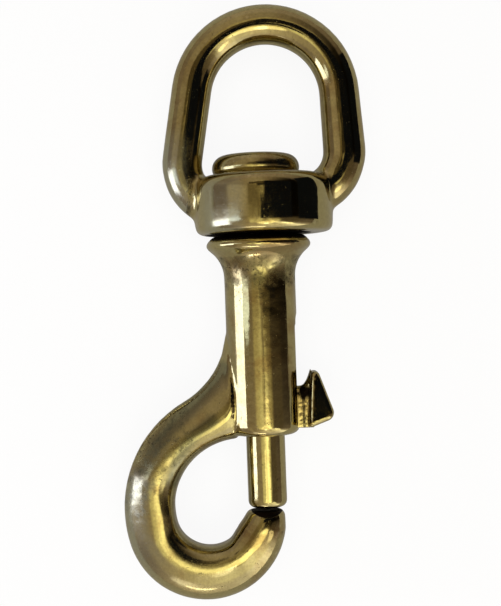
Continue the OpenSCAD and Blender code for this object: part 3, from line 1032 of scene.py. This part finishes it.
def coil_part(name, sizes, start, rise, turns):
    """Some turns of the coil, from a round of wire carried round the axis."""
    part = primitive(
        bpy.ops.mesh.primitive_circle_add, name, vertices=10, radius=sizes.wire_d / 2,
        fill_type="NOTHING", location=((sizes.coil_d - sizes.wire_d) / 2, start, 0))
    modify(part, "SCREW", axis="Y", angle=math.tau, screw_offset=rise / turns, iterations=turns,
           steps=24, render_steps=24, use_smooth_shade=True)
    return part


class SNAPHOOK_OT_spring(bpy.types.Operator):
    """Spring: the coil that pushes the bolt down onto the hook's tip"""

    bl_idname = "snaphook.spring"
    bl_label = "Spring"

    def execute(self, context):
        sizes = context.scene.snap_hook.spring
        wire = sizes.wire_d
        low, top = SPRING_BOX[0].y + wire / 2, SPRING_BOX[1].y - wire / 2
        coil = coil_part("coil_spring", sizes, low, wire, 1)
        join(coil, [coil_part("coil_middle", sizes, low + wire, top - low - 2 * wire, sizes.turns - 2),
                    coil_part("coil_top", sizes, top - wire, wire, 1)])
        edit(coil, "EDGE")
        bpy.ops.mesh.select_all(action="SELECT")
        bpy.ops.mesh.remove_doubles(threshold=1e-6)
        bpy.ops.mesh.select_all(action="DESELECT")
        bpy.ops.mesh.select_non_manifold()
        bpy.ops.mesh.edge_face_add()
        leave()
        face_outwards(coil)
        bpy.ops.object.shade_smooth_by_angle(angle=math.radians(50))
        dress(coil, metal("spring_bronze", "bronze", roughness=0.22, stain_share=0.6,
                          pit_share=0.1, lines=0.2, dimples=0.8, waves=0.5))
        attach(coil, "hook")
        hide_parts("spring")
        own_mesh(coil)
        return {"FINISHED"}


# ---- Stage ----

# How bright the studio is round about: degrees from +X towards +Y, then the slanting ceiling, the
# upper wall and the lower wall in that direction
WALLS = [
    (-180, 0.45, 0.24, 0.40), (-170, 0.70, 0.38, 0.50), (-155, 0.98, 0.42, 0.30),
    (-138, 1.15, 0.44, 0.29), (-122, 1.05, 0.52, 0.42), (-107, 0.62, 0.68, 0.62),
    (-92, 0.60, 0.92, 0.70), (-78, 0.68, 1.15, 0.78), (-62, 0.72, 0.90, 0.90),
    (-52, 1.05, 1.40, 1.45), (-43, 1.55, 1.55, 1.80), (-37, 1.35, 1.00, 0.95),
    (-30, 1.10, 0.32, 0.43), (-23, 0.98, 0.18, 0.28), (-16, 0.70, 0.13, 0.16),
    (-9, 0.34, 0.13, 0.18), (-4, 0.17, 0.11, 0.06), (-1.5, 0.14, 0.06, 0.04),
    (0.5, 0.10, 0.004, 0.006), (10, 0.03, 0.002, 0.01), (30, 0.012, 0.004, 0.08),
    (42, 0.12, 0.02, 0.18), (60, 0.40, 0.12, 0.30), (80, 0.50, 0.31, 0.38),
    (104, 0.55, 0.43, 0.46), (122, 0.33, 0.38, 0.33), (140, 0.29, 0.37, 0.26),
    (156, 0.20, 0.33, 0.31), (168, 0.20, 0.46, 0.22), (176, 0.34, 0.48, 0.22),
]
BRIGHTEST = 2.0         # brighter than any of them
CARD_HEIGHT = 0.25      # how high the dark cards hang
BLACK = (0.006, 0.007, 0.012)
LAMPS_FACE = Vector((0, -32 * MM, 0))    # the middle of the hook, which the lamps face


def wall_colour(level, coolness):
    """A wall's colour: warm brown where it is dim, near white where it is bright."""
    lit = min(1.0, level)
    green = 0.70 + 0.08 * coolness + 0.19 * lit
    return (level / BRIGHTEST, level * green / BRIGHTEST,
            level * coolness * (0.75 + 0.35 * lit) / BRIGHTEST)


def make_world(studio):
    """The studio's walls and ceiling, plain white where the camera looks past the floor."""
    world = bpy.data.worlds.new("studio")
    bpy.context.scene.world = world
    world.cycles.sampling_method = "NONE"
    world.use_nodes = True
    tree = world.node_tree
    tree.nodes.clear()
    way = add(tree, "TexCoord").outputs["Generated"]
    x, y, z = add(tree, "SeparateXYZ", {0: way}).outputs
    round_about = maths(tree, "ARCTAN2", y, x)
    turn = add(tree, "MapRange",
               {"Value": round_about, "From Min": -math.pi, "From Max": math.pi}).outputs["Result"]
    down = maths(tree, "ARCCOSINE", z)
    bands = []
    for row, coolness in ((1, 0.52), (2, 0.72), (3, 0.86)):
        stops = [((wall[0] + 180) / 360, wall_colour(wall[row], coolness)) for wall in WALLS]
        stops.append((1.0, stops[0][1]))
        bands.append(ramp(tree, turn, stops))
    room = mix_colour(tree, smooth_step(tree, x, -0.10, 0.06),
                      (*wall_colour(0.75, 0.52), 1), (*wall_colour(0.26, 0.6), 1))
    for band, low, high in zip(bands, (3, 23, 56), (9, 31, 68)):
        reached = smooth_step(tree, down, math.radians(low), math.radians(high))
        room = mix_colour(tree, reached, room, band)
    glow = add(tree, "Background",
               {"Color": room, "Strength": BRIGHTEST * studio.room_light}).outputs[0]
    white = add(tree, "Background", {"Color": (1, 1, 1, 1), "Strength": 1.0}).outputs[0]
    seen = add(tree, "LightPath").outputs["Is Camera Ray"]
    mixed = add(tree, "MixShader", {0: seen, 1: glow, 2: white}).outputs[0]
    add(tree, "OutputWorld", {"Surface": mixed})


def make_lamp(name, degrees_round, degrees_down, distance, wide, tall, radiance, tint, square=False):
    """A soft box that faces the hook: degrees round from +X, and degrees down from straight above.

    Radiance is how bright it looks."""
    turn, down = math.radians(degrees_round), math.radians(degrees_down)
    way = Vector((math.sin(down) * math.cos(turn), math.sin(down) * math.sin(turn), math.cos(down)))
    lamp = bpy.data.lights.new(name, "AREA")
    lamp.shape = "RECTANGLE" if square else "ELLIPSE"
    lamp.size, lamp.size_y = wide, tall
    lamp.energy = radiance * math.pi * wide * tall * (1.0 if square else math.pi / 4)
    lamp.color = tint
    holder = bpy.data.objects.new(name, lamp)
    bpy.context.scene.collection.objects.link(holder)
    holder.location = LAMPS_FACE + way * distance
    holder.rotation_euler = (-way).to_track_quat("-Z", "Y").to_euler()
    holder.visible_camera = False
    return holder


def make_dark_card(name, left, right, low, high, colour_seen, stands_at=None):
    """A dark card above the hook, or standing on the floor beside it, for the metal to reflect."""
    middle, turn = ((left + right) / 2, (low + high) / 2, CARD_HEIGHT), 0
    if stands_at:
        middle = (stands_at, (low + high) / 2, EYE_BOX[0].z + (right - left) / 2 + 1 * MM)
        turn = math.pi / 2
    card = primitive(bpy.ops.mesh.primitive_plane_add, name, (right - left, high - low, 1),
                     size=1, location=middle, rotation=(0, turn, 0))
    material = bare_material(name)
    tree = material.node_tree
    seen = add(tree, "Emission", {"Color": (*colour_seen, 1)}).outputs[0]
    add(tree, "OutputMaterial", {"Surface": seen})
    dress(card, material)
    card.visible_camera = card.visible_diffuse = card.visible_shadow = False


def make_floor(studio):
    """A plain pale floor that keeps the object's shadow."""
    floor = primitive(bpy.ops.mesh.primitive_plane_add, "floor",
                      size=studio.floor_size, location=(0, 0, EYE_BOX[0].z))
    material = bare_material("pale_floor")
    tree = material.node_tree
    light = add(tree, "LightPath").outputs
    card = add(tree, "BsdfDiffuse", {"Color": (0.8, 0.8, 0.8, 1)}).outputs[0]
    mirrored = maths(tree, "MAXIMUM", light["Is Glossy Ray"], light["Is Transmission Ray"])
    level = plus(tree, light["Is Camera Ray"], times(tree, mirrored, 0.05))
    glow = add(tree, "Emission", {"Color": (1, 1, 1, 1), "Strength": level}).outputs[0]
    cover = plus(tree, times(tree, light["Is Camera Ray"], 0.90), times(tree, mirrored, 0.6))
    mixed = add(tree, "MixShader", {0: cover, 1: card, 2: glow}).outputs[0]
    add(tree, "OutputMaterial", {"Surface": mixed})
    dress(floor, material)


class SNAPHOOK_OT_stage(bpy.types.Operator):
    """Stage: the pale floor, the studio light and the camera"""

    bl_idname = "snaphook.stage"
    bl_label = "Stage"

    def execute(self, context):
        studio = context.scene.snap_hook.studio
        make_floor(studio)
        make_dark_card("dark_card", 0.004, 0.26, -0.028, 0.11, BLACK)
        make_dark_card("dark_wing", -0.10, 0.004, 0.046, 0.098, (0.10, 0.075, 0.04))
        make_dark_card("dark_slip", -0.023, 0.004, -0.028, 0.006, BLACK)
        make_dark_card("dark_fill", -0.045, 0.004, 0.018, 0.046, (0.045, 0.036, 0.02))
        make_dark_card("dark_stand", 0.0, 0.07, -0.024, 0.06, BLACK, stands_at=0.09)
        make_world(studio)
        make_lamp("window", -173.5, 76, 0.207, 0.076, 0.12, 3.8, (0.64, 0.70, 1.0), square=True)
        make_lamp("bolt_card", -76.9, 19.4, 0.265, 0.15, 0.10, 1.3, (1.0, 0.96, 0.62))
        make_lamp("lip_card", -110, 72, 0.2, 0.05, 0.05, 1.0, (0.85, 0.86, 1.0))
        make_lamp("cool_card", 178.5, 50.5, 0.26, 0.035, 0.12, 2.0, (0.60, 0.72, 1.0))
        make_lamp("gold_strip", -36, 48, 0.3, 0.05, 0.13, 1.4, (1.0, 0.98, 0.80))
        make_lamp("low_spot", -86, 28, 1.0, 0.13, 0.28, 1.5, (0.92, 0.90, 0.9))
        make_lamp("glint", -98, 75, 1.0, 0.34, 0.10, 4.6, (1.0, 0.99, 0.95))
        fill = make_lamp("fill", 0, 0, 1.5, 1.2, 1.2, 3.2, (1.0, 1.0, 1.0), square=True)
        fill.visible_glossy = False
        lens = bpy.data.cameras.new("camera")
        lens.sensor_width = 36
        lens.lens = lens.sensor_width / 2 / math.tan(studio.view_angle / 2)
        camera = bpy.data.objects.new("camera", lens)
        context.scene.collection.objects.link(camera)
        camera.location = (studio.camera_x, studio.camera_y, studio.camera_height)
        camera.rotation_euler = (0, 0, studio.camera_roll)
        context.scene.camera = camera
        context.scene.view_settings.view_transform = "Standard"
        return {"FINISHED"}


# ---- Panel and running ----


class SNAPHOOK_PT_tools(bpy.types.Panel):
    """Everything that makes the snap hook, in order"""

    bl_idname = "SNAPHOOK_PT_tools"
    bl_label = "Swivel Snap Hook"
    bl_space_type = "VIEW_3D"
    bl_region_type = "UI"
    bl_category = "Snap Hook"

    def draw(self, context):
        settings = context.scene.snap_hook
        for operator, sizes in (
                ("snaphook.stage", settings.studio), ("snaphook.hook_casting", settings.casting),
                ("snaphook.eye_casting", None), ("snaphook.rivet", settings.rivet),
                ("snaphook.bolt", settings.bolt), ("snaphook.spring", settings.spring)):
            box = self.layout.box()
            box.operator(operator)
            for name in (sizes.__annotations__ if sizes else ()):
                box.prop(sizes, name)
        box = self.layout.box()
        for name in settings.finish.__annotations__:
            box.prop(settings.finish, name)


CLASSES = (
    CastingSizes, RivetSizes, BoltSizes, SpringSizes, Finish, Studio, SnapHookSettings,
    SNAPHOOK_OT_stage, SNAPHOOK_OT_hook_casting, SNAPHOOK_OT_eye_casting, SNAPHOOK_OT_rivet,
    SNAPHOOK_OT_bolt, SNAPHOOK_OT_spring, SNAPHOOK_PT_tools)


def register():
    for cls in CLASSES:
        bpy.utils.register_class(cls)
    bpy.types.Scene.snap_hook = PointerProperty(type=SnapHookSettings)


def unregister():
    del bpy.types.Scene.snap_hook
    for cls in reversed(CLASSES):
        bpy.utils.unregister_class(cls)


def main():
    register()
    make_tarnish_group()
    make_pits_group()
    make_edge_group()
    make_polish_group()
    bpy.ops.snaphook.stage()
    bpy.ops.snaphook.hook_casting()
    bpy.ops.snaphook.eye_casting()
    bpy.ops.snaphook.rivet()
    bpy.ops.snaphook.bolt()
    bpy.ops.snaphook.spring()


if __name__ == "__main__":
    main()
